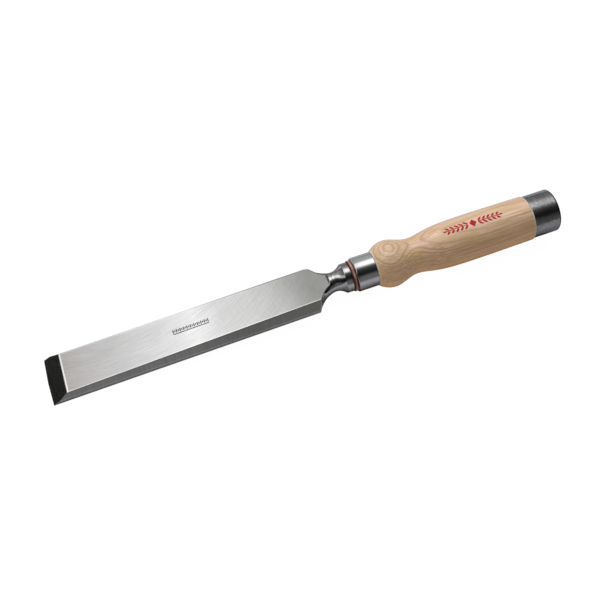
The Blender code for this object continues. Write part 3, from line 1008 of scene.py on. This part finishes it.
def build_stage():
    """A white floor for the camera, the greyer one that the tool mirrors, and a black card."""
    white = Graph("white_floor", Base_Color=(0.06, 0.06, 0.06, 1), Roughness=0.9)
    white.shader.inputs["Specular IOR Level"].default_value = 0.0
    white.shader.inputs["Emission Color"].default_value = WHITE
    white.shader.inputs["Emission Strength"].default_value = 0.985
    floor = stage_plane("floor", 6.0, 0.0)
    floor.data.materials.append(white.material)
    seen_by(floor, camera=True)
    grey = Graph("grey_floor", Base_Color=(0.42, 0.41, 0.395, 1), Roughness=0.9)
    x, y, _ = grey.place(Vector(), Vector((1, 0, 0)), ACROSS, Vector((0, 0, 1)))
    beyond_blade = grey.span(y, 8.0, 22.0, 0.0, 1.0)
    along_blade = grey.span(x, -10.0, -90.0, 0.0, 1.0)
    glow = grey.math("MULTIPLY", beyond_blade, along_blade)
    near_side = grey.span(y, -58.0, -30.0, 0.0, 1.0)
    far_side = grey.span(y, 65.0, 25.0, 0.0, 1.0)
    near_tool = grey.math("MULTIPLY", near_side, far_side)
    shade = grey.mix(near_tool, (0.44, 0.43, 0.41), (0.27, 0.265, 0.255))
    grey.links.new(shade, grey.shader.inputs["Base Color"])
    grey.shader.inputs["Emission Color"].default_value = WHITE
    grey.links.new(grey.math("MULTIPLY", glow, 0.75), grey.shader.inputs["Emission Strength"])
    bounce = stage_plane("floor_bounce", 1.5, -0.0003)
    bounce.data.materials.append(grey.material)
    seen_by(bounce, others=True)
    bounce.visible_shadow = False

    black = Graph("black_card", Base_Color=(0.012, 0.012, 0.012, 1), Roughness=0.95)
    black.shader.inputs["Specular IOR Level"].default_value = 0.0
    card = stage_plane("black_card", 0.045, 0.0)
    card.data.materials.append(black.material)
    from_bevel = Vector((-0.81, 0.52, 0.27)).normalized()
    card.location = CUTTING_EDGE + from_bevel * 0.07
    card.rotation_euler = from_bevel.to_track_quat("-Z", "Y").to_euler()
    seen_by(card)
    card.visible_glossy = True


# Brightness of the soft surroundings by degrees from straight overhead: + is the near side.
SURROUND = [
    (-180, 0.08), (-110, 0.20), (-90, 0.33), (-75, 0.52), (-62, 0.54), (-52, 0.54), (-44, 0.85),
    (-36, 1.5), (-28, 1.85), (-18, 1.85), (-10, 1.5), (-4, 0.65), (3, 0.2), (12, 0.07),
    (30, 0.025), (44, 0.018), (52, 0.06), (60, 0.155), (75, 0.18), (92, 0.21), (107, 0.31),
    (120, 0.42), (180, 0.10),
]
# The same, as a share, by the sideways part of the direction.
SIDEWAYS = [
    (-1.0, 0.3), (-0.8, 0.45), (-0.62, 0.75), (-0.4, 0.8), (-0.27, 0.62), (-0.2, 0.68),
    (-0.15, 0.85), (-0.10, 1.15), (-0.05, 0.95), (0.0, 0.68), (0.05, 0.56), (0.1, 0.68),
    (0.14, 0.95), (0.22, 0.95), (0.32, 0.46), (0.42, 0.46), (0.5, 0.8), (0.6, 0.6),
    (0.7, 0.35), (0.85, 0.1), (1.0, 0.04),
]
SURROUND_PEAK = 1.85
# By how much the bands of the surroundings bend at the tool's two ends.
EDGE_END_BEND, BUTT_END_BEND = math.radians(38), math.radians(20)


def build_world():
    """Soft surroundings that light and mirror in the tool but that the camera does not see."""
    world = bpy.data.worlds.new("soft_studio")
    bpy.context.scene.world = world
    world.use_nodes = True
    nodes, links = world.node_tree.nodes, world.node_tree.links
    graph = Graph.__new__(Graph)
    graph.nodes, graph.links = nodes, links
    place = nodes.new("ShaderNodeTexCoord").outputs["Generated"]
    split = nodes.new("ShaderNodeSeparateXYZ")
    links.new(place, split.inputs[0])
    x, y, z = split.outputs
    angle = graph.math("ARCTAN2", graph.math("MULTIPLY", y, -1.0), z)
    bend = graph.span(x, -0.02, 0.02, EDGE_END_BEND, BUTT_END_BEND)
    bend = graph.math("MULTIPLY", bend, graph.math("MULTIPLY", x, x))
    angle = graph.math("SUBTRACT", angle, bend)
    turn = graph.span(angle, -math.pi, math.pi, 0.0, 1.0)
    stops = [((a + 180) / 360, value / SURROUND_PEAK) for a, value in SURROUND]
    height = graph.ramp(turn, stops)
    sideways = graph.span(x, -1.0, 1.0, 0.0, 1.0)
    width = graph.ramp(sideways, [((share + 1) / 2, value) for share, value in SIDEWAYS])
    light = graph.mix(1.0, height, width, "MULTIPLY")
    background = nodes["Background"]
    links.new(light, background.inputs[0])
    background.inputs[1].default_value = SURROUND_PEAK
    world.cycles_visibility.camera = False


def soft_light(name, place, size, energy, colour):
    """A soft light that shapes the wood; the metal mirrors only the surroundings."""
    data = bpy.data.lights.new(name, "AREA")
    data.shape = "RECTANGLE"
    data.size, data.size_y = size
    data.energy = energy
    data.color = colour
    lamp = bpy.data.objects.new(name, data)
    bpy.context.scene.collection.objects.link(lamp)
    lamp.location = place
    lamp.rotation_euler = (-lamp.location).to_track_quat("-Z", "Y").to_euler()
    lamp.visible_camera = False
    lamp.visible_glossy = False


def build_lights():
    soft_light("overhead_softbox", (0.0, 0.5, 1.05), (1.3, 0.9), 12.2, (0.95, 0.995, 1.26))
    soft_light("table_bounce", (0.0, -0.75, -0.6), (1.6, 0.5), 6.6, (1.08, 0.88, 0.73))


def build_backdrop():
    """A white shell round everything, seen only by the camera."""
    mesh = bpy.data.meshes.new("backdrop")
    bm = bmesh.new()
    bmesh.ops.create_icosphere(bm, subdivisions=3, radius=5.5)
    bm.to_mesh(mesh)
    bm.free()
    shell = bpy.data.objects.new("backdrop", mesh)
    bpy.context.scene.collection.objects.link(shell)
    glow = Graph("white_backdrop", Base_Color=(0, 0, 0, 1))
    glow.shader.inputs["Emission Color"].default_value = WHITE
    glow.shader.inputs["Emission Strength"].default_value = 1.0
    glow.shader.inputs["Specular IOR Level"].default_value = 0.0
    mesh.materials.append(glow.material)
    seen_by(shell, camera=True)


CAMERA_PLACE = Vector((-0.10998, -0.34333, 0.56030))
CAMERA_AIM = Vector((-0.00759, -0.00368, 0.01200))
CAMERA_ROLL = math.radians(-3.123)


def build_camera():
    data = bpy.data.cameras.new("camera")
    data.lens = 54.0
    data.sensor_width = 36.0
    camera = bpy.data.objects.new("camera", data)
    bpy.context.scene.collection.objects.link(camera)
    camera.location = CAMERA_PLACE
    aim = (CAMERA_AIM - CAMERA_PLACE).to_track_quat("-Z", "Y")
    camera.rotation_mode = "QUATERNION"
    camera.rotation_quaternion = aim @ Quaternion((0, 0, 1), CAMERA_ROLL)
    bpy.context.scene.camera = camera


build_stage()
build_backdrop()
build_world()
build_lights()
build_camera()
bpy.context.scene.view_settings.view_transform = "Standard"

bpy.context.view_layer.update()
